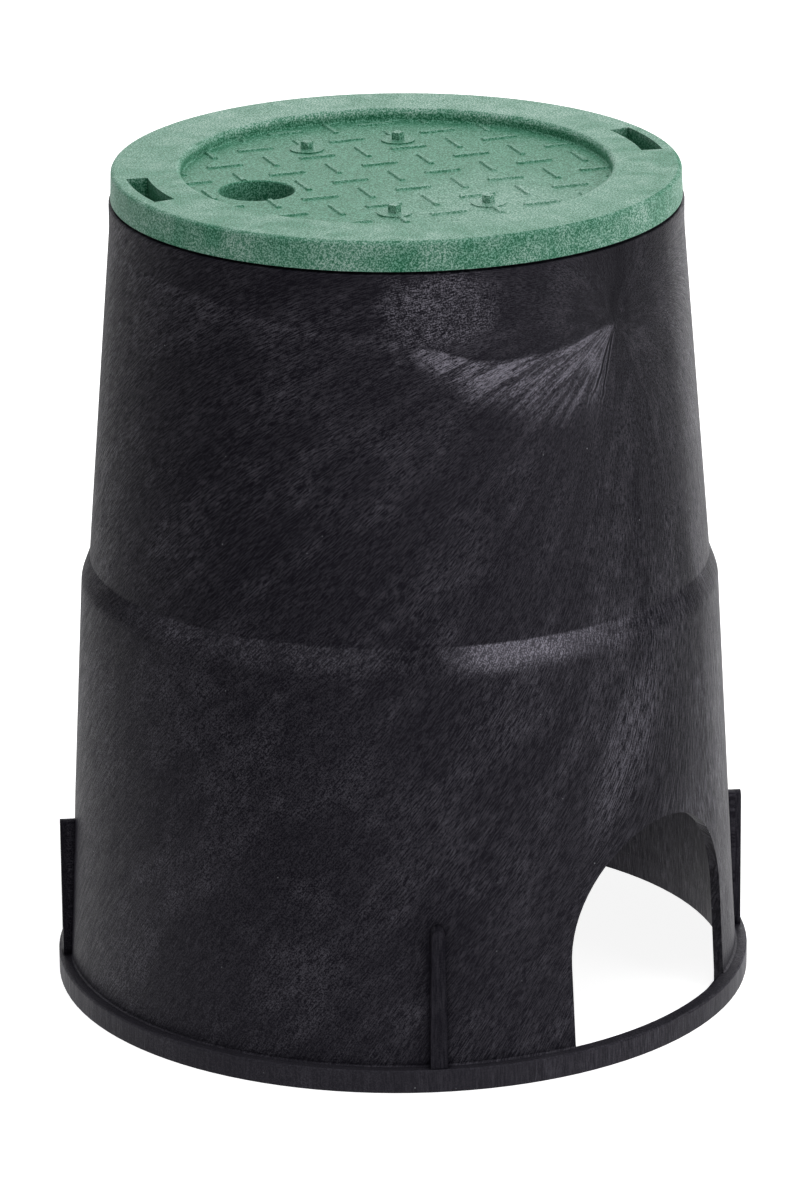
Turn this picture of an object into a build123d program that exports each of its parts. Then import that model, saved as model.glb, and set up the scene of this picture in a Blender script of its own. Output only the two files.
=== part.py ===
from build123d import *
import os
from math import cos, hypot, radians, sin, tan

# Round irrigation valve box: a tapered black body, open at its foot, and a green lift-off lid.
# Frame: origin on the ground at the box's centre, +Z up, the two pipe openings on +X and -X.
# All sizes are in millimetres.

# Overall
overall_height = 232.6

# Body shell, outer surface from the ground up
foot_radius = 94.1
foot_fillet = 0.6
flange_width = 3.3
flange_height = 6.3
flange_edge_round = 0.6
step_foot_height = 116.3
step_foot_radius = 88.4
step_rise = 6.4
step_inset = 2.4
step_round = 5.0
mouth_radius = 78.5
mouth_land = 7.5
mouth_blend = 60.0
mouth_edge_round = 0.5
wall = 3.0

# Lid seat inside the mouth
joint_gap = 0.8
rim_land = 2.1
seat_width = 2.2
seat_depth = 8.0

# Pipe openings
opening_width = 67.2
opening_spring_height = 30.0
sill_height = 3.3
sill_lip = 0.4

# Gussets between flange and wall
gusset_count = 4
gusset_setback = 1.1
gusset_height = 46.3
gusset_top_width = 3.45
gusset_foot_width = 4.7

# Lid plate
lid_turn = 59.3
lid_setback = 0.5
lid_edge_height = 8.1
lid_edge_draft = 2.0
lid_edge_round = 1.2
rim_width = 19.2
dish_depth = 3.4
dish_edge_round = 1.4
dish_corner_round = 0.6

# Tread ribs in the dish, laid as a basket weave
tread_pitch = 13.4
tread_length = 10.4
tread_width = 1.8
tread_height = 0.45
tread_draft = 40.0

# Square pegs on round pads, in line with the tread's cells on both sides of the middle
peg_row_pitch = 70.4
peg_side = 2.5
peg_height = 2.4
peg_turn = 35.0
pad_radius = 4.7
pad_height = 0.35

# Finger hole and lift slots
finger_hole_margin = 8.4
finger_hole_radius = 10.2
finger_hole_round = 0.5
collar_wall = 3.0
slot_margin = 3.8
slot_width = 5.9
slot_half_angle = 9.7

# Lid underside
skirt_clearance = 0.7
skirt_wall = 3.0
skirt_depth = 9.0
skirt_lead = 1.0
core_wall = 1.9
core_depth = 3.3
stiffener_count = 6
stiffener_wall = 2.6
stiffener_depth = 6.5
hub_radius = 14.0

# Heights and radii that follow from the sizes above
lid_bottom = overall_height - lid_edge_height
rim_top = lid_bottom - joint_gap
dish_floor = overall_height - dish_depth
step_top_height = step_foot_height + step_rise
step_top_radius = step_foot_radius - step_inset
seat_outer_radius = mouth_radius - rim_land
seat_inner_radius = seat_outer_radius - seat_width
seat_lead = mouth_radius - wall - seat_inner_radius
flange_radius = foot_radius + flange_width
opening_radius = opening_width / 2
gusset_face_radius = flange_radius - gusset_setback
lid_radius = mouth_radius - lid_setback
lid_top_radius = lid_radius - lid_edge_height * tan(radians(lid_edge_draft))
dish_radius = lid_radius - rim_width
slot_outer_radius = lid_radius - slot_margin
slot_inner_radius = slot_outer_radius - slot_width
skirt_radius = seat_inner_radius - skirt_clearance
stiffener_reach = skirt_radius - skirt_wall / 2
core_inner_radius = dish_radius + core_wall
core_outer_radius = slot_inner_radius - core_wall
finger_hole_reach = dish_radius - finger_hole_margin - finger_hole_radius
finger_hole_offset = round(finger_hole_reach / tread_pitch) * tread_pitch
peg_column_pitch = 2 * tread_pitch


def circle_edges(part, radius, height):
    """The round edges of a part that have this radius and lie at this height."""
    rings = part.edges().filter_by(GeomType.CIRCLE)
    rings = rings.filter_by(lambda edge: abs(edge.radius - radius) < 0.01)
    return rings.filter_by(lambda edge: abs(edge.center().Z - height) < 0.01)


# Body: one moulded shell with its flange, gussets, lid seat and pipe openings
gusset_planes = []
for index in range(gusset_count):
    gusset_angle = radians(45 + index * 360 / gusset_count)
    gusset_planes.append(
        Plane(
            origin=(0, 0, 0),
            x_dir=(-sin(gusset_angle), cos(gusset_angle), 0),
            z_dir=(cos(gusset_angle), sin(gusset_angle), 0),
        )
    )

with BuildPart() as body:
    # Outer form, turned about the box's axis
    with BuildSketch(Plane.XZ):
        with BuildLine():
            Polyline(
                (0, 0),
                (flange_radius, 0),
                (flange_radius, flange_height),
                (foot_radius, flange_height),
                (step_foot_radius, step_foot_height),
                (step_top_radius, step_top_height),
                (mouth_radius, rim_top - mouth_land),
                (mouth_radius, rim_top),
                (seat_outer_radius, rim_top),
                (seat_outer_radius, lid_bottom),
                (0, lid_bottom),
                close=True,
            )
        make_face()
        land_foot = vertices().sort_by_distance((mouth_radius, rim_top - mouth_land))[0]
        fillet(land_foot, mouth_blend)
    revolve(axis=Axis.Z)
    fillet(circle_edges(body, foot_radius, flange_height), foot_fillet)
    fillet(circle_edges(body, step_foot_radius, step_foot_height), step_round)
    fillet(circle_edges(body, mouth_radius, rim_top), mouth_edge_round)

    # Gussets, thicker at the foot, with a rounded head and an upright outer face
    head_radius = gusset_top_width / 2
    head_centre = gusset_height - head_radius
    with BuildSketch(*gusset_planes):
        with BuildLine():
            Polyline(
                (-head_radius, head_centre),
                (-gusset_foot_width / 2, flange_height),
                (-gusset_foot_width / 2, flange_height / 2),
                (gusset_foot_width / 2, flange_height / 2),
                (gusset_foot_width / 2, flange_height),
                (head_radius, head_centre),
            )
            ThreePointArc((head_radius, head_centre), (0, gusset_height), (-head_radius, head_centre))
        make_face()
    extrude(amount=gusset_face_radius)
    fillet(circle_edges(body, flange_radius, flange_height), flange_edge_round)

    # Cavity: the wall keeps one thickness, and thickens to the lid seat at the mouth
    with BuildSketch(Plane.XZ):
        with BuildLine():
            Polyline(
                (0, 0),
                (foot_radius - wall, 0),
                (foot_radius - wall, flange_height),
                (step_foot_radius - wall, step_foot_height),
                (step_top_radius - wall, step_top_height),
                (mouth_radius - wall, rim_top - seat_depth - seat_lead),
                (seat_inner_radius, rim_top - seat_depth),
                (seat_inner_radius, lid_bottom),
                (0, lid_bottom),
                close=True,
            )
        make_face()
    revolve(axis=Axis.Z, mode=Mode.SUBTRACT)

    # Pipe openings: an arch through the wall on both sides, standing on the flange
    with BuildSketch(Plane.YZ):
        with BuildLine():
            Polyline(
                (-opening_radius, opening_spring_height),
                (-opening_radius, flange_height),
                (opening_radius, flange_height),
                (opening_radius, opening_spring_height),
            )
            ThreePointArc(
                (opening_radius, opening_spring_height),
                (0, opening_spring_height + opening_radius),
                (-opening_radius, opening_spring_height),
            )
        make_face()
    extrude(amount=flange_radius, both=True, mode=Mode.SUBTRACT)

    # Behind the flange the wall is cut away further, down to a low sill
    with BuildSketch(Plane.XY.offset(sill_height)):
        Circle(foot_radius - sill_lip)
        Rectangle(2 * flange_radius, opening_width, mode=Mode.INTERSECT)
    extrude(amount=flange_height - sill_height, mode=Mode.SUBTRACT)

# Lid: one moulded disc with a sunk tread, lift slots, finger hole, and a skirt and stiffeners below
lid_plane = Plane(
    origin=(0, 0, 0),
    x_dir=(cos(radians(lid_turn)), sin(radians(lid_turn)), 0),
    z_dir=(0, 0, 1),
)
hole_plane = Plane(
    origin=lid_plane.from_local_coords((-finger_hole_offset, 0, 0)),
    x_dir=lid_plane.x_dir,
    z_dir=-lid_plane.y_dir,
)

# Ribs stand on every cell of a square grid and turn by a quarter from each cell to the next
tread_reach = int(dish_radius // tread_pitch) + 1
upright_cells = []
level_cells = []
for column in range(-tread_reach, tread_reach + 1):
    for row in range(-tread_reach, tread_reach + 1):
        cell = (column * tread_pitch, row * tread_pitch)
        if hypot(*cell) > dish_radius + tread_width:
            continue
        if (column + row) % 2 == 0:
            upright_cells.append(cell)
        else:
            level_cells.append(cell)

with BuildPart() as lid:
    # Plate with its sunk dish, and the groove below that keeps the rim from being a thick lump
    with BuildSketch(lid_plane.offset(lid_bottom)):
        Circle(lid_radius)
    extrude(amount=lid_edge_height, taper=lid_edge_draft)
    with BuildSketch(lid_plane.offset(dish_floor)):
        Circle(dish_radius)
    extrude(amount=dish_depth, mode=Mode.SUBTRACT)
    fillet(circle_edges(lid, dish_radius, dish_floor), dish_corner_round)
    fillet(circle_edges(lid, dish_radius, overall_height), dish_edge_round)
    fillet(circle_edges(lid, lid_top_radius, overall_height), lid_edge_round)
    with BuildSketch(lid_plane.offset(lid_bottom)):
        Circle(core_outer_radius)
        Circle(core_inner_radius, mode=Mode.SUBTRACT)
    extrude(amount=core_depth, mode=Mode.SUBTRACT)

    # Locating skirt, with a lead at its lower edge
    with BuildSketch(lid_plane.offset(lid_bottom)):
        Circle(skirt_radius)
        Circle(skirt_radius - skirt_wall, mode=Mode.SUBTRACT)
    extrude(amount=-skirt_depth)
    chamfer(circle_edges(lid, skirt_radius, lid_bottom - skirt_depth), skirt_lead)

    # Radial stiffeners round a hub, and the finger hole's collar
    with BuildSketch(lid_plane.offset(lid_bottom + core_depth)):
        with PolarLocations(0, stiffener_count, start_angle=180 / stiffener_count):
            Rectangle(stiffener_reach, stiffener_wall, align=(Align.MIN, Align.CENTER))
        Circle(hub_radius)
        Circle(hub_radius - stiffener_wall, mode=Mode.SUBTRACT)
        with Locations((-finger_hole_offset, 0)):
            Circle(finger_hole_radius + collar_wall)
    extrude(amount=-core_depth - stiffener_depth)

    # Tread ribs, pads and pegs on the dish's floor
    with BuildSketch(lid_plane.offset(dish_floor)):
        with Locations(*upright_cells):
            Rectangle(tread_width, tread_length)
        with Locations(*level_cells):
            Rectangle(tread_length, tread_width)
        with GridLocations(peg_column_pitch, peg_row_pitch, 2, 2):
            Circle(pad_radius, mode=Mode.SUBTRACT)
    extrude(amount=tread_height, taper=tread_draft)
    with BuildSketch(lid_plane.offset(dish_floor)):
        with GridLocations(peg_column_pitch, peg_row_pitch, 2, 2):
            Circle(pad_radius)
    extrude(amount=pad_height)
    with BuildSketch(lid_plane.offset(dish_floor)):
        with GridLocations(peg_column_pitch, peg_row_pitch, 2, 2):
            Rectangle(peg_side, peg_side, rotation=peg_turn)
    extrude(amount=peg_height)

    # Finger hole through plate and collar, its upper edge rounded over
    with BuildSketch(hole_plane):
        with BuildLine():
            Polyline(
                (finger_hole_radius, dish_floor - finger_hole_round),
                (finger_hole_radius, lid_bottom - stiffener_depth),
                (0, lid_bottom - stiffener_depth),
                (0, overall_height),
                (finger_hole_radius + finger_hole_round, overall_height),
                (finger_hole_radius + finger_hole_round, dish_floor),
            )
            round_centre = (finger_hole_radius + finger_hole_round, dish_floor - finger_hole_round)
            CenterArc(round_centre, finger_hole_round, 90, 90)
        make_face()
    revolve(axis=Axis(hole_plane.origin, (0, 0, 1)), mode=Mode.SUBTRACT)

    # Two lift slots through rim and skirt, on opposite sides
    slot_plane = lid_plane.offset(overall_height)
    with BuildSketch(slot_plane, slot_plane.rotated((0, 0, 180))):
        with BuildLine():
            slot_inner = CenterArc((0, 0), slot_inner_radius, -slot_half_angle, 2 * slot_half_angle)
            slot_outer = CenterArc((0, 0), slot_outer_radius, -slot_half_angle, 2 * slot_half_angle)
            Line(slot_inner @ 0, slot_outer @ 0)
            Line(slot_inner @ 1, slot_outer @ 1)
        make_face()
    extrude(amount=-lid_edge_height - skirt_depth, mode=Mode.SUBTRACT)

body.part.label = "valve_box_body"
lid.part.label = "lid"

os.makedirs("parts", exist_ok=True)
export_step(body.part, "parts/valve_box_body.step")
export_step(lid.part, "parts/lid.step")
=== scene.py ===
from math import e, radians

import bpy
from mathutils import Matrix, Vector


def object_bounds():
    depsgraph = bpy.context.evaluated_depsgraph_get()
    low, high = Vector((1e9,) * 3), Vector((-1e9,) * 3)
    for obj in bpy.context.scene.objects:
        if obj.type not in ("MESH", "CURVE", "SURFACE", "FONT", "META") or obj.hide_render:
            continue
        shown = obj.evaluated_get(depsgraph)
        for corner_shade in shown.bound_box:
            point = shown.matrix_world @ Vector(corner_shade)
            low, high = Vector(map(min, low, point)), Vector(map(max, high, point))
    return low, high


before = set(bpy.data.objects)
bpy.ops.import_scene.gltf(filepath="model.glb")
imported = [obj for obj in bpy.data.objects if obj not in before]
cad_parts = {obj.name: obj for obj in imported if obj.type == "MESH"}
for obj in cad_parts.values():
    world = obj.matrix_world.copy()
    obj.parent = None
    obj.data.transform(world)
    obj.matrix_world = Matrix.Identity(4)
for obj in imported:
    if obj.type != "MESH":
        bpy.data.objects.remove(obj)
cad_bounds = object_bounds()

# Body
# One injection moulding in black polypropylene with short fibres in it: a tapered tube with a foot
# flange, gussets and two arched pipe openings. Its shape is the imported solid; this section gives it
# the skin of the moulding, where the melt ran out from a gate near the rim and down the wall.

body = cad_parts["valve_box_body"]
mm_per_m = 1000
polypropylene_ior = 1.49


def linear(hex_colour):
    """An sRGB hex colour as linear red, green, blue and a full alpha."""
    channels = [int(hex_colour[i:i + 2], 16) / 255 for i in (1, 3, 5)]
    return [c / 12.92 if c <= 0.04045 else ((c + 0.055) / 1.055) ** 2.4 for c in channels] + [1.0]


def add(tree, kind, inputs={}, **settings):
    """Adds one node. inputs maps its sockets to plain values, or to the nodes or sockets that feed
    them. A node feeds from the first of its outputs that is in use."""
    node = tree.nodes.new("ShaderNode" + kind)
    for name, value in settings.items():
        setattr(node, name, value)
    for socket, value in inputs.items():
        if isinstance(value, bpy.types.Node):
            value = next(output for output in value.outputs if output.enabled)
        if isinstance(value, bpy.types.NodeSocket):
            tree.links.new(value, node.inputs[socket])
        else:
            node.inputs[socket].default_value = value
    return node


def finish_all_over(piece, material):
    """Puts one material on every face of a piece."""
    piece.data.materials.clear()
    piece.data.materials.append(material)
    for face in piece.data.polygons:
        face.material_index = 0


def fibre_filled_polypropylene():
    """Black moulded polypropylene: fibres and drag marks follow the melt, which gives a charcoal
    skin with fine pale dashes, fanned out at the gate, and a dull sheen. Light and shade are painted
    into it too: painted highlights on the fan, the step and the crease rims, painted shade in the
    creases and corners, a painted floor reflection on the flange, and a sheen that is painted
    stronger or weaker from place to place."""
    material = bpy.data.materials.new("fibre_filled_polypropylene")
    material.use_nodes = True
    tree = material.node_tree
    tree.nodes.clear()
    eased = {"interpolation_type": "SMOOTHSTEP"}

    # In a MapRange, 1 and 2 are where it starts and ends, and 3 and 4 what it gives there, 0 and 1
    # unless said. In a Mix, 0 is the share, 2 and 3 are plain values, and 6 and 7 are colours.
    skin_noise = {"Scale": 1.0, "Detail": 3.0, "Roughness": 0.65}

    # The place on the wall in millimetres, unrolled about the gate that the melt came in by
    gate_angle = radians(-4.3)
    gate_height = 203.5
    wall_radius = 84.0
    place = add(tree, "VectorMath", {0: add(tree, "TexCoord").outputs["Object"], "Scale": mm_per_m},
                operation="SCALE")
    turned = add(tree, "VectorRotate", {"Vector": place, "Angle": -gate_angle}, rotation_type="Z_AXIS")
    xyz = add(tree, "SeparateXYZ", {0: turned}).outputs
    turn = add(tree, "Math", {0: xyz["Y"], 1: xyz["X"]}, operation="ARCTAN2")
    across = add(tree, "Math", {0: turn, 1: wall_radius}, operation="MULTIPLY")
    below = add(tree, "Math", {0: gate_height, 1: xyz["Z"]}, operation="SUBTRACT")
    bearing = add(tree, "Math", {0: across, 1: below}, operation="ARCTAN2")
    offset = add(tree, "CombineXYZ", {"X": across, "Y": below})
    reach = add(tree, "VectorMath", {0: offset}, operation="LENGTH")

    # The melt spread from the gate, drifted down the wall and parted at the middle of the pipe
    # opening: which stream line a place lies on, and how far along it
    spread = 100.0
    drift = radians(27)
    split = 22.0
    arch_middle = (6.3, 166.0, 0)
    from_arch = add(tree, "VectorMath", {0: offset, 1: arch_middle}, operation="SUBTRACT")
    arch_xyz = add(tree, "SeparateXYZ", {0: from_arch}).outputs
    above_arch = add(tree, "Math", {0: arch_xyz["Y"], 1: -1.0}, operation="MULTIPLY")
    arch_bearing = add(tree, "Math", {0: arch_xyz["X"], 1: above_arch}, operation="ARCTAN2")
    arch_reach = add(tree, "VectorMath", {0: from_arch}, operation="LENGTH")
    drifted = add(tree, "VectorRotate", {"Vector": offset, "Angle": -drift}, rotation_type="Z_AXIS")
    drifted = add(tree, "SeparateXYZ", {0: drifted}).outputs
    line = add(tree, "Math", {0: bearing, 1: spread, 2: drifted["X"]}, operation="MULTIPLY_ADD")
    line = add(tree, "Math", {0: arch_bearing, 1: -split, 2: line}, operation="MULTIPLY_ADD")
    along = drifted["Y"]
    for distance, strength in ((reach, spread), (arch_reach, split)):
        distance = add(tree, "Math", {0: distance, 1: e}, operation="LOGARITHM")
        along = add(tree, "Math", {0: distance, 1: strength, 2: along}, operation="MULTIPLY_ADD")
    flow = add(tree, "CombineXYZ", {"X": line, "Y": along})

    # On the far side, on the flange and on the gussets it simply ran down
    flat = add(tree, "CombineXYZ", {"X": xyz["X"], "Y": xyz["Y"]})
    radius = add(tree, "VectorMath", {0: flat}, operation="LENGTH")
    turned_away = add(tree, "Math", {0: turn}, operation="ABSOLUTE")
    turned_away = add(tree, "MapRange", {0: turned_away, 1: 2.1, 2: 2.8}, **eased)
    foot_radius = 94.3
    outside = add(tree, "MapRange", {0: radius, 1: foot_radius, 2: foot_radius + 0.6}, **eased)
    ran_down = add(tree, "Math", {0: turned_away, 1: outside}, operation="MAXIMUM")

    # Dashes and clouds in the skin, in millimetres across and along the flow. A fibre is some
    # hundredths of a millimetre thick, so the dashes and the grain are as coarse as they need to show.
    dash_sizes = {"fine": (0.55, 5.5), "coarse": (1.5, 16.0), "wide": (7.0, 80.0), "cloud": (34.0, 80.0)}
    layers = {}
    for name, (width, length) in dash_sizes.items():
        by_flow = add(tree, "VectorMath", {0: flow, 1: (1 / width, 1 / length, 0)}, operation="MULTIPLY")
        by_flow = add(tree, "TexNoise", {"Vector": by_flow, **skin_noise}, noise_dimensions="2D")
        by_height = add(tree, "VectorMath", {0: place, 1: (1 / width, 1 / width, 1 / length)},
                        operation="MULTIPLY")
        by_height = add(tree, "TexNoise", {"Vector": by_height, **skin_noise})
        layers[name] = add(tree, "Mix", {0: ran_down, 2: by_flow, 3: by_height})
    grain_size = 0.42
    blotch_size = 9.0
    grain = add(tree, "TexNoise", {"Vector": place, "Scale": 1 / grain_size, "Detail": 2.0,
                "Roughness": 0.7})
    blotch = add(tree, "TexNoise", {"Vector": place, "Scale": 1 / blotch_size, "Detail": 3.0,
                 "Distortion": 0.6})

    # Above this line, which passes the gate and dips to its left, the melt only crept. Each bend
    # has where it starts and ends across the wall, and how far it drops the line.
    bends = ((0.0, -30.0, 4.0), (-38.0, -82.0, -8.8), (-80.0, -150.0, -6.0))
    crest = add(tree, "Math", {0: blotch, 1: 2.5, 2: -0.75}, operation="MULTIPLY_ADD")
    for start, end, bend in bends:
        bend = add(tree, "MapRange", {0: across, 1: start, 2: end, 4: bend}, **eased)
        crest = add(tree, "Math", {0: crest, 1: bend}, operation="ADD")
    fall = add(tree, "Math", {0: below, 1: crest}, operation="SUBTRACT")
    creep = add(tree, "MapRange", {0: fall, 1: 1.5, 2: -1.5}, **eased)
    creep_ends = ((45.0, 18.0), (-200.0, -150.0))
    for start, full in creep_ends:
        creep = add(tree, "MapRange", {0: across, 1: start, 2: full, 4: creep}, **eased)

    # Under it lies a fan of drag marks, deeper near the gate, in millimetres down the wall. Its
    # brightness is partly the marks and partly a painted highlight, where their relief catches the light.
    deepest = 25.0
    shallowest = 5.0
    slope = 0.3
    fan_depth = add(tree, "Math", {0: across, 1: slope, 2: deepest}, operation="MULTIPLY_ADD")
    fan_depth = add(tree, "Math", {0: fan_depth, 1: shallowest}, operation="MAXIMUM")
    fan_and_highlight = add(tree, "Math", {0: fall, 1: fan_depth}, operation="DIVIDE")
    fan_and_highlight = add(tree, "MapRange", {0: fan_and_highlight, 1: 1.3, 2: 0.1}, **eased)
    for value, start, full in ((fall, -0.8, 0.6), (across, -80.0, -50.0), (bearing, -0.2, -0.75)):
        fan_and_highlight = add(tree, "MapRange", {0: value, 1: start, 2: full, 4: fan_and_highlight}, **eased)
    fan_share = add(tree, "MapRange", {0: layers["wide"], 1: 0.4, 2: 0.62, 3: 0.35, 4: 1.3}, **eased)
    fan_and_highlight = add(tree, "Math", {0: fan_and_highlight, 1: fan_share}, operation="MULTIPLY")

    # Two creases run down from the gate, each drawn as painted shade in the fold and painted
    # highlights on its rims. They lie at one angle to each side of a bearing that wavers a little.
    wobble = 0.15
    crease_bearing = 0.35
    half_angle = 0.08
    fold = add(tree, "Math", {0: blotch, 1: wobble, 2: crease_bearing}, operation="MULTIPLY_ADD")
    fold = add(tree, "Math", {0: fold, 1: bearing}, operation="ADD")
    fold = add(tree, "Math", {0: fold}, operation="ABSOLUTE")
    fold = add(tree, "Math", {0: fold, 1: half_angle}, operation="SUBTRACT")
    fold = add(tree, "Math", {0: fold}, operation="ABSOLUTE")
    fold = add(tree, "Math", {0: fold, 1: reach}, operation="MULTIPLY")
    crease_end = 27.0
    fold_length = add(tree, "MapRange", {0: reach, 1: crease_end, 2: crease_end - 11.0}, **eased)
    fold_length = add(tree, "MapRange", {0: reach, 1: 1.5, 2: 5.0, 4: fold_length}, **eased)
    crease_shade = add(tree, "MapRange", {0: fold, 1: 0.5, 2: 0.15, 4: fold_length}, **eased)
    crease_highlight = add(tree, "MapRange", {0: fold, 1: 0.9, 2: 0.6, 4: fold_length}, **eased)
    crease_highlight = add(tree, "MapRange", {0: fold, 1: 0.3, 2: 0.55, 4: crease_highlight}, **eased)
    crease_highlight = add(tree, "MapRange", {0: layers["fine"], 1: 0.4, 2: 0.6, 4: crease_highlight}, **eased)

    # A scuffed patch lies beside the smooth lens above the fan. It and the smear further down are
    # given by their middle, from the gate and from the opening, and by half their size.
    scuff_middle = (-56.0, -10.5, 0)
    scuff_half = (20.0, 12.5, 1)
    scuff = add(tree, "VectorMath", {0: offset, 1: scuff_middle}, operation="SUBTRACT")
    scuff = add(tree, "VectorMath", {0: scuff, 1: scuff_half}, operation="DIVIDE")
    scuff = add(tree, "VectorMath", {0: scuff}, operation="LENGTH")
    scuff = add(tree, "Math", {0: blotch, 1: 1.3, 2: scuff}, operation="MULTIPLY_ADD")
    scuff = add(tree, "MapRange", {0: scuff, 1: 1.7, 2: 1.2}, **eased)
    scuff = add(tree, "MapRange", {0: fall, 1: 1.5, 2: 0.0, 4: scuff}, **eased)

    # The step carries a painted highlight over one stretch, and a weak one over another to its left,
    # both flecked. Each stretch has where it starts and where it is full, across the wall, from its
    # left and from its right.
    highlit_stretch = ((-61.0, -44.0), (12.0, -42.0))
    faintly_highlit_stretch = ((-165.0, -140.0), (-50.0, -85.0))
    step_foot = 114.0
    step_top = 122.5
    step = add(tree, "MapRange", {0: xyz["Z"], 1: step_foot, 2: step_foot + 6.0}, **eased)
    step = add(tree, "MapRange", {0: xyz["Z"], 1: step_top + 0.8, 2: step_top, 4: step}, **eased)
    step_highlight = faint_step_highlight = step
    for start, full in highlit_stretch:
        step_highlight = add(tree, "MapRange", {0: across, 1: start, 2: full, 4: step_highlight}, **eased)
    for start, full in faintly_highlit_stretch:
        faint_step_highlight = add(tree, "MapRange", {0: across, 1: start, 2: full, 4: faint_step_highlight}, **eased)
    flakes = add(tree, "Math", {0: layers["fine"], 1: 0.7, 2: grain}, operation="MULTIPLY_ADD")
    flakes = add(tree, "MapRange", {0: flakes, 1: 0.8, 2: 1.04}, **eased)
    blotches = add(tree, "MapRange", {0: blotch, 1: 0.38, 2: 0.6, 3: 0.5}, **eased)
    flakes = add(tree, "Math", {0: flakes, 1: blotches}, operation="MULTIPLY")

    # A pale smear of drag marks runs down towards the pipe opening
    smear_middle = (-10.0, -52.0, 0)
    smear_lean = radians(-26)
    smear_half = (11.0, 34.0, 1)
    smear = add(tree, "VectorMath", {0: from_arch, 1: smear_middle}, operation="SUBTRACT")
    smear = add(tree, "VectorRotate", {"Vector": smear, "Angle": smear_lean}, rotation_type="Z_AXIS")
    smear = add(tree, "VectorMath", {0: smear, 1: smear_half}, operation="DIVIDE")
    smear = add(tree, "VectorMath", {0: smear}, operation="LENGTH")
    smear = add(tree, "MapRange", {0: smear, 1: 1.1, 2: 0.2}, **eased)

    # How pale the dashes show from place to place, in shares and strengths that were matched
    streak = layers["fine"]
    for layer, share in (("coarse", 0.17), ("wide", 0.22)):
        streak = add(tree, "Math", {0: layers[layer], 1: share, 2: streak}, operation="MULTIPLY_ADD")
    coarse_grain = add(tree, "Math", {0: grain, 1: 1.39}, operation="MULTIPLY")
    grain_share = add(tree, "MapRange", {0: across, 1: -40.0, 2: -100.0, 3: 0.25, 4: 0.6}, **eased)
    grain_share = add(tree, "Mix", {0: turned_away, 2: grain_share, 3: 0.4})
    grain_share = add(tree, "MapRange", {0: below, 1: 50.0, 2: 110.0, 3: 0.25, 4: grain_share}, **eased)
    streak = add(tree, "Mix", {0: grain_share, 2: streak, 3: coarse_grain})
    streak = add(tree, "MapRange", {0: streak, 1: 0.62, 2: 0.86, 4: 1.6})
    patches = add(tree, "MapRange", {0: blotch, 1: 0.4, 2: 0.65, 3: 0.4}, **eased)
    patches = add(tree, "MapRange", {0: layers["cloud"], 1: 0.42, 2: 0.62, 4: patches}, **eased)
    gain = add(tree, "Math", {0: patches, 1: 0.6, 2: 0.48}, operation="MULTIPLY_ADD")
    crest_edge = add(tree, "MapRange", {0: fall, 1: 5.0, 2: 0.0}, **eased)
    for value, start, full in ((fall, -0.8, 0.6), (across, -50.0, -80.0), (across, -200.0, -160.0)):
        crest_edge = add(tree, "MapRange", {0: value, 1: start, 2: full, 4: crest_edge}, **eased)
    for mark, strength in ((fan_and_highlight, 3.6), (smear, 1.4), (crest_edge, 0.38)):
        gain = add(tree, "Math", {0: mark, 1: strength, 2: gain}, operation="MULTIPLY_ADD")
    above_gate = add(tree, "Math", {0: bearing}, operation="ABSOLUTE")
    above_gate = add(tree, "MapRange", {0: above_gate, 1: 2.3, 2: 3.1}, **eased)
    for mark, left in ((creep, 0.75), (crease_shade, 0.1), (above_gate, 0.45), (outside, 0.55)):
        kept = add(tree, "MapRange", {0: mark, 3: 1.0, 4: left})
        gain = add(tree, "Math", {0: gain, 1: kept}, operation="MULTIPLY")
    pale = add(tree, "Math", {0: streak, 1: gain}, operation="MULTIPLY")
    # The step's painted highlights, and the scuff, make the skin paler and flecked
    for mark, strength, flaked in ((step_highlight, 1.2, 6.0), (faint_step_highlight, 0.25, 1.2), (scuff, 0.0, 3.8)):
        strength = add(tree, "Math", {0: flakes, 1: flaked, 2: strength}, operation="MULTIPLY_ADD")
        pale = add(tree, "Math", {0: mark, 1: strength, 2: pale}, operation="MULTIPLY_ADD")
    # The flange is painted paler, as a painted reflection of the floor, and the crease rims get their
    # painted highlight
    flange_top = 6.0
    painted_floor_reflection = add(tree, "MapRange", {0: xyz["Z"], 1: flange_top + 1.0, 2: flange_top}, **eased)
    for mark, strength in ((crease_highlight, 2.4), (painted_floor_reflection, 0.3)):
        pale = add(tree, "Math", {0: mark, 1: strength, 2: pale}, operation="MULTIPLY_ADD")

    # A few specks of dust, in about one in seven of the cells that they are spaced by
    speck_spacing = 4.0
    speck_radius = 0.12
    speck_share = speck_radius / speck_spacing
    dust = add(tree, "TexVoronoi", {"Vector": place, "Scale": 1 / speck_spacing}).outputs
    chosen = add(tree, "SeparateColor", {0: dust["Color"]})
    chosen = add(tree, "MapRange", {0: chosen, 1: 0.82, 2: 0.9}, **eased)
    dust = add(tree, "MapRange", {0: dust["Distance"], 1: 2 * speck_share, 2: speck_share, 4: chosen},
               **eased)

    # Corners are painted dark, as painted shade where light reaches them least
    corner_size = 2.5 / mm_per_m
    corner_shade = add(tree, "AmbientOcclusion", {"Distance": corner_size}, samples=6, only_local=True)
    unshaded_share = add(tree, "MapRange", {0: corner_shade.outputs["AO"], 1: 0.45, 2: 0.85, 3: 0.25}, **eased)
    paleness = 0.2
    tone = add(tree, "Math", {0: pale, 1: paleness}, operation="MULTIPLY")
    tone = add(tree, "Math", {0: tone, 1: unshaded_share}, operation="MULTIPLY")
    carbon_black = linear("#0a0910")
    fibre_grey = linear("#86838e")
    dust_grey = linear("#8f9296")
    colour = add(tree, "Mix", {0: tone, 6: carbon_black, 7: fibre_grey}, data_type="RGBA")
    colour = add(tree, "Mix", {0: dust, 6: colour, 7: dust_grey}, data_type="RGBA")
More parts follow.
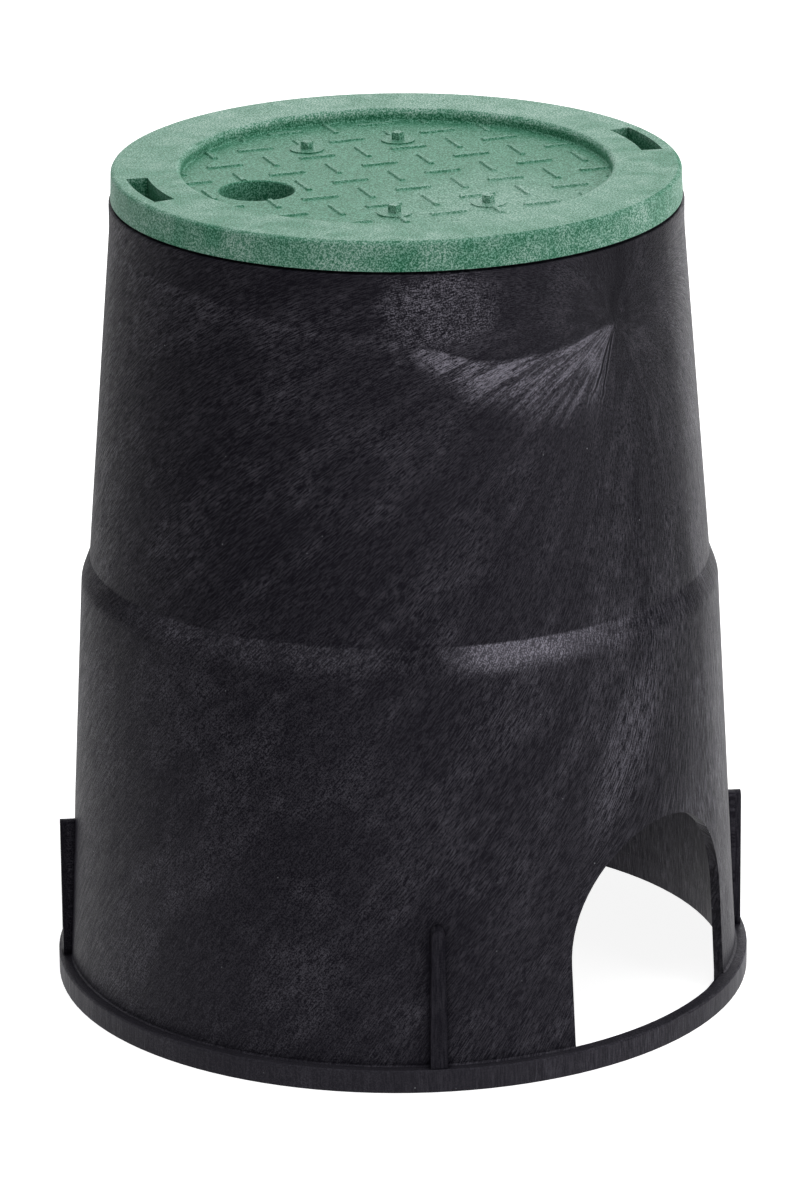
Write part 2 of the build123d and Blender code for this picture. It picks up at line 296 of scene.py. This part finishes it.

    # The sheen is painted light and shade: weaker round to the left and on the far side, stronger low
    # down and at the right edge, as the room's light fell, and weaker on the step outside its painted
    # highlight. Its cool tint is painted too, standing in for a cool cast of the room's light.
    painted_light_tint = linear("#f2ebff")
    least_sheen = 0.1
    sheen_of_marks = 0.1
    roughness = add(tree, "MapRange", {0: layers["coarse"], 1: 0.3, 2: 0.7, 3: 0.42, 4: 0.6})
    left = add(tree, "MapRange", {0: across, 1: -150.0, 2: -40.0, 3: 0.28}, **eased)
    right = add(tree, "MapRange", {0: across, 1: -20.0, 2: 8.0, 3: 1.0, 4: 0.32}, **eased)
    far_right = add(tree, "MapRange", {0: across, 1: 20.0, 2: 50.0, 4: 1.7}, **eased)
    right = add(tree, "Math", {0: right, 1: far_right}, operation="MAXIMUM")
    sheen_light_and_shade = add(tree, "Math", {0: left, 1: right}, operation="MULTIPLY")
    sheen_light_and_shade = add(tree, "Mix", {0: turned_away, 2: sheen_light_and_shade, 3: 0.3})
    low = add(tree, "MapRange", {0: below, 1: 60.0, 2: 190.0, 3: 0.3, 4: 0.8}, **eased)
    sheen_light_and_shade = add(tree, "Math", {0: sheen_light_and_shade, 1: low}, operation="MAXIMUM")
    step_outside_highlight = add(tree, "Math", {0: step, 1: step_highlight}, operation="SUBTRACT")
    step_outside_highlight = add(tree, "MapRange", {0: step_outside_highlight, 3: 1.0, 4: 0.4})
    sheen = add(tree, "Math", {0: pale, 1: sheen_of_marks, 2: least_sheen}, operation="MULTIPLY_ADD")
    for share in (sheen_light_and_shade, step_outside_highlight, unshaded_share):
        sheen = add(tree, "Math", {0: sheen, 1: share}, operation="MULTIPLY")

    # The dashes and the grain stand up from the skin, most where it is scuffed and where the step
    # has its painted highlight
    relief = add(tree, "Math", {0: layers["coarse"], 1: 1.5, 2: layers["fine"]}, operation="MULTIPLY_ADD")
    rough_skin = add(tree, "Math", {0: scuff, 1: step_highlight}, operation="MAXIMUM")
    rough_skin = add(tree, "Math", {0: rough_skin, 1: 2.0, 2: 0.4}, operation="MULTIPLY_ADD")
    relief = add(tree, "Math", {0: grain, 1: rough_skin, 2: relief}, operation="MULTIPLY_ADD")
    relief_depth = 0.14
    bump = add(tree, "Bump", {"Strength": 0.8, "Distance": relief_depth / mm_per_m, "Height": relief})
    skin = add(tree, "BsdfPrincipled", {"Base Color": colour, "Roughness": roughness,
               "IOR": polypropylene_ior, "Specular IOR Level": sheen, "Specular Tint": painted_light_tint,
               "Normal": bump})
    add(tree, "OutputMaterial", {0: skin})
    return material


finish_all_over(body, fibre_filled_polypropylene())


# Lid
# One injection moulding in green foamed polypropylene that drops onto the body's seat: a thick rim,
# a sunk tread with small ribs and pegs, a finger hole and two lift slots. Its shape is the packed
# solid; this section gives it the mottled skin of foamed plastic.

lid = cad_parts["lid"]


def foamed_polypropylene():
    """Green foamed polypropylene: gas in the melt leaves pale flecks, and whitish clouds and
    streaks that run outwards from the middle and down the edge, so the skin looks dusty."""
    material = bpy.data.materials.new("foamed_polypropylene")
    material.use_nodes = True
    tree = material.node_tree
    tree.nodes.clear()
    place = add(tree, "VectorMath", {0: add(tree, "TexCoord").outputs["Object"], "Scale": mm_per_m},
                operation="SCALE")

    # How far the melt has run from the middle, over the top and down the edge
    rim_radius = 60.0
    swirl_size = 24.0
    swirl_drag = 14.0
    xyz = add(tree, "SeparateXYZ", {0: place}).outputs
    flat = add(tree, "CombineXYZ", {"X": xyz["X"], "Y": xyz["Y"]})
    radius = add(tree, "VectorMath", {0: flat}, operation="LENGTH")
    run = add(tree, "Math", {0: radius, 1: xyz["Z"]}, operation="SUBTRACT")
    turn = add(tree, "Math", {0: xyz["Y"], 1: xyz["X"]}, operation="ARCTAN2")
    arc = add(tree, "Math", {0: turn, 1: rim_radius}, operation="MULTIPLY")
    flow = add(tree, "CombineXYZ", {"X": arc, "Y": run})
    swirl = add(tree, "TexNoise", {"Vector": place, "Scale": 1 / swirl_size, "Detail": 1.0})
    swirl = add(tree, "VectorMath", {0: swirl.outputs["Color"], "Scale": swirl_drag}, operation="SCALE")
    flow = add(tree, "VectorMath", {0: flow, 1: swirl}, operation="ADD")

    # Flecks and clouds, stretched outwards on the rim and even in the middle. The foam's pores are
    # about a tenth of a millimetre, so the flecks are drawn as coarse as they need to show.
    fleck_sizes = {"streak": (0.7, 4.5), "cloud": (9.0, 26.0)}
    layers = {}
    for name, (width, length) in fleck_sizes.items():
        stretched = add(tree, "VectorMath", {0: flow, 1: (1 / width, 1 / length, 0)}, operation="MULTIPLY")
        layers[name] = add(tree, "TexNoise", {"Vector": stretched, "Scale": 1.0, "Detail": 3.0,
                           "Roughness": 0.65}, noise_dimensions="2D")
    fleck_size = 0.45
    mottle_size = 11.0
    grain = add(tree, "TexNoise", {"Vector": place, "Scale": 1 / fleck_size, "Detail": 2.0,
                "Roughness": 0.7})
    mottle = add(tree, "TexNoise", {"Vector": place, "Scale": 1 / mottle_size, "Detail": 3.0,
                 "Distortion": 1.0})
    outward = add(tree, "MapRange", {0: radius, 1: 18.0, 2: 60.0, 4: 0.35})
    clouds = add(tree, "Mix", {0: outward, 2: mottle, 3: layers["cloud"]})
    streaks = add(tree, "Mix", {0: outward, 2: grain, 3: layers["streak"]})
    flecks = add(tree, "Mix", {0: 0.25, 2: grain, 3: streaks})
    cloud = add(tree, "MapRange", {0: clouds, 1: 0.38, 2: 0.68})

    # The back of the lid, away from the camera's side, is paler, partly by wear and partly as a painted
    # sheen, and the sunk faces stay greener
    wear_and_sheen_side = (-0.633, 0.774, 0)
    rim_top = 231.8
    sunk_edge = 75.0
    dish_edge = 57.0
    tread_floor = 229.3
    wear_and_sheen = add(tree, "VectorMath", {0: flat, 1: wear_and_sheen_side}, operation="DOT_PRODUCT")
    wear_and_sheen = add(tree, "MapRange", {0: wear_and_sheen, 1: 5.0, 2: 68.0, 3: -0.06, 4: 0.34})
    cloud = add(tree, "Math", {0: cloud, 1: wear_and_sheen}, operation="ADD", use_clamp=True)
    sunk = add(tree, "MapRange", {0: xyz["Z"], 1: rim_top, 2: rim_top - 1.8, 4: 0.8})
    sunk = add(tree, "MapRange", {0: radius, 1: sunk_edge + 1.0, 2: sunk_edge, 4: sunk})
    cloud = add(tree, "Math", {0: cloud, 1: sunk}, operation="SUBTRACT", use_clamp=True)

    # The ribs and pegs are painted paler on top, as a painted highlight, and one patch of the dish
    # with a ragged edge is rubbed paler
    scoured_middle = (41.0, -6.0, 0)
    ragged = 44.0
    raised_highlight = add(tree, "MapRange", {0: xyz["Z"], 1: tread_floor, 2: tread_floor + 0.3, 4: 0.25})
    raised_highlight = add(tree, "MapRange", {0: radius, 1: dish_edge + 1.0, 2: dish_edge, 4: raised_highlight})
    cloud = add(tree, "Math", {0: cloud, 1: raised_highlight}, operation="ADD", use_clamp=True)
    scoured = add(tree, "VectorMath", {0: flat, 1: scoured_middle}, operation="DISTANCE")
    scoured = add(tree, "Math", {0: mottle, 1: ragged, 2: scoured}, operation="MULTIPLY_ADD")
    scoured = add(tree, "MapRange", {0: scoured, 1: 60.0, 2: 26.0, 4: 0.75})
    cloud = add(tree, "Math", {0: cloud, 1: scoured}, operation="ADD", use_clamp=True)

    # Each colour is given clean and clouded, but for the pits, which stay clean
    clean_green, clouded_green = linear("#276f50"), linear("#5e9a80")
    clean_fleck, clouded_fleck = linear("#7db79f"), linear("#c0dad0")
    pit_green = linear("#1f5f42")
    pale_flecks = add(tree, "MapRange", {0: flecks, 1: 0.48, 2: 0.58})
    pits = add(tree, "MapRange", {0: flecks, 1: 0.43, 2: 0.33})
    ground = add(tree, "Mix", {0: cloud, 6: clean_green, 7: clouded_green}, data_type="RGBA")
    ground = add(tree, "Mix", {0: pits, 6: ground, 7: pit_green}, data_type="RGBA")
    fleck_colour = add(tree, "Mix", {0: cloud, 6: clean_fleck, 7: clouded_fleck}, data_type="RGBA")
    colour = add(tree, "Mix", {0: pale_flecks, 6: ground, 7: fleck_colour}, data_type="RGBA")

    # Corners are painted darker, as painted shade where light reaches them least
    corner_size = 2.0 / mm_per_m
    corner_shade = add(tree, "AmbientOcclusion", {"Distance": corner_size}, samples=6, only_local=True)
    unshaded_share = add(tree, "MapRange", {0: corner_shade.outputs["AO"], 1: 0.4, 2: 0.9, 3: 0.82})
    colour = add(tree, "VectorMath", {0: colour, "Scale": unshaded_share}, operation="SCALE")
    roughness = add(tree, "MapRange", {0: flecks, 1: 0.3, 2: 0.7, 3: 0.46, 4: 0.6})
    relief_depth = 0.1
    dusty_sheen = 0.13
    bump = add(tree, "Bump", {"Strength": 0.5, "Distance": relief_depth / mm_per_m, "Height": flecks})
    skin = add(tree, "BsdfPrincipled", {"Base Color": colour, "Roughness": roughness,
               "IOR": polypropylene_ior, "Specular IOR Level": dusty_sheen, "Normal": bump})
    add(tree, "OutputMaterial", {0: skin})
    return material


finish_all_over(lid, foamed_polypropylene())


# Floor and surroundings
# A plain pale sheet of matt paper under the box, and the light of the room. Both show as white,
# also in reflections, and the paper keeps the shadow.

# The paper lies this far under the foot, so that the two faces don't lie in one plane
floor_drop = 0.0002
floor_half = 6.0
floor_corners = [(x * floor_half, y * floor_half, -floor_drop)
                 for x, y in ((-1, -1), (1, -1), (1, 1), (-1, 1))]
floor_mesh = bpy.data.meshes.new("floor")
floor_mesh.from_pydata(floor_corners, [], [(0, 1, 2, 3)])
floor = bpy.data.objects.new("floor", floor_mesh)
bpy.context.scene.collection.objects.link(floor)


def seen_or_mirrored(tree):
    """1 on rays that the camera sends, or that arrive by a reflection or through glass."""
    path = add(tree, "LightPath").outputs
    seen = add(tree, "Math", {0: path["Is Camera Ray"], 1: path["Is Glossy Ray"]}, operation="MAXIMUM")
    return add(tree, "Math", {0: seen, 1: path["Is Transmission Ray"]}, operation="MAXIMUM")


def matt_paper():
    """Matt paper, which shows no gloss: light of its own, for seen rays only, lifts its lit part to
    white."""
    paper_white = linear("#e0e0e0")
    lift_to_white = 0.9
    material = bpy.data.materials.new("matt_paper")
    material.use_nodes = True
    tree = material.node_tree
    tree.nodes.clear()
    paper = add(tree, "BsdfDiffuse", {"Color": paper_white})
    glow = add(tree, "Math", {0: seen_or_mirrored(tree), 1: lift_to_white}, operation="MULTIPLY")
    lift = add(tree, "Emission", {"Strength": glow})
    add(tree, "OutputMaterial", {0: add(tree, "AddShader", {0: paper, 1: lift})})
    return material


floor.data.materials.append(matt_paper())

# Lamps aside, this is the share of the room's white that falls on the box
room_light = 0.256
room_white = linear("#ffffff")
world = bpy.data.worlds.new("room")
bpy.context.scene.world = world
world.use_nodes = True
world.node_tree.nodes.clear()
room = add(world.node_tree, "MapRange", {0: seen_or_mirrored(world.node_tree), 3: room_light, 4: 1.0})
room = add(world.node_tree, "Background", {"Color": room_white, "Strength": room})
add(world.node_tree, "OutputWorld", {0: room})


# Lamps
# Four softboxes, set from the camera: one overhead, one at the back that lights the lid's top, and
# two low on the right, in front and behind, that light the step and the right edge of the wall.

def softbox(name, azimuth, elevation, distance, size, power):
    """A square lamp that faces the middle of the box, at an azimuth from -Y towards +X."""
    lamp = bpy.data.lights.new(name, "AREA")
    lamp.shape = "SQUARE"
    lamp.size = size
    lamp.energy = power
    holder = bpy.data.objects.new(name, lamp)
    bpy.context.scene.collection.objects.link(holder)
    aim = Vector((0, 0, cad_bounds[1][2] / 2))
    swing = Matrix.Rotation(radians(azimuth), 4, "Z") @ Matrix.Rotation(radians(90 - elevation), 4, "X")
    holder.matrix_world = Matrix.Translation(aim) @ swing @ Matrix.Translation((0, 0, distance))


# Degrees round from the camera and up from the floor, distance and size in metres, and power
camera_azimuth = 39.3
softboxes = {"overhead": (20, 70, 1.4, 0.9, 6.5), "back": (180, 30, 1.4, 1.0, 5.0),
             "front_right": (57, 22, 1.5, 0.8, 4.0), "back_right": (120, 15, 1.4, 0.8, 6.0)}
for name, (round_from_camera, elevation, distance, size, power) in softboxes.items():
    softbox(name, camera_azimuth + round_from_camera, elevation, distance, size, power)


# Camera
# It stands nearly in front of one gusset, with a pipe opening on the right, and looks down on the
# lid as the photograph was taken: a long lens, level to within a degree.

camera_reach = 1.6946
camera_height = 0.6909
camera_dip = 19.01
camera_lean = -0.5
camera_lens = 193.1
camera_data = bpy.data.cameras.new("camera")
camera_data.lens = camera_lens
camera_data.sensor_width = 36.0
camera_data.clip_start = 0.05
camera = bpy.data.objects.new("camera", camera_data)
bpy.context.scene.collection.objects.link(camera)
camera.matrix_world = (
    Matrix.Rotation(radians(camera_azimuth), 4, "Z")
    @ Matrix.Translation((0, -camera_reach, camera_height))
    @ Matrix.Rotation(radians(90 - camera_dip), 4, "X")
    @ Matrix.Rotation(radians(camera_lean), 4, "Z")
)
bpy.context.scene.camera = camera
bpy.context.scene.view_settings.view_transform = "Standard"
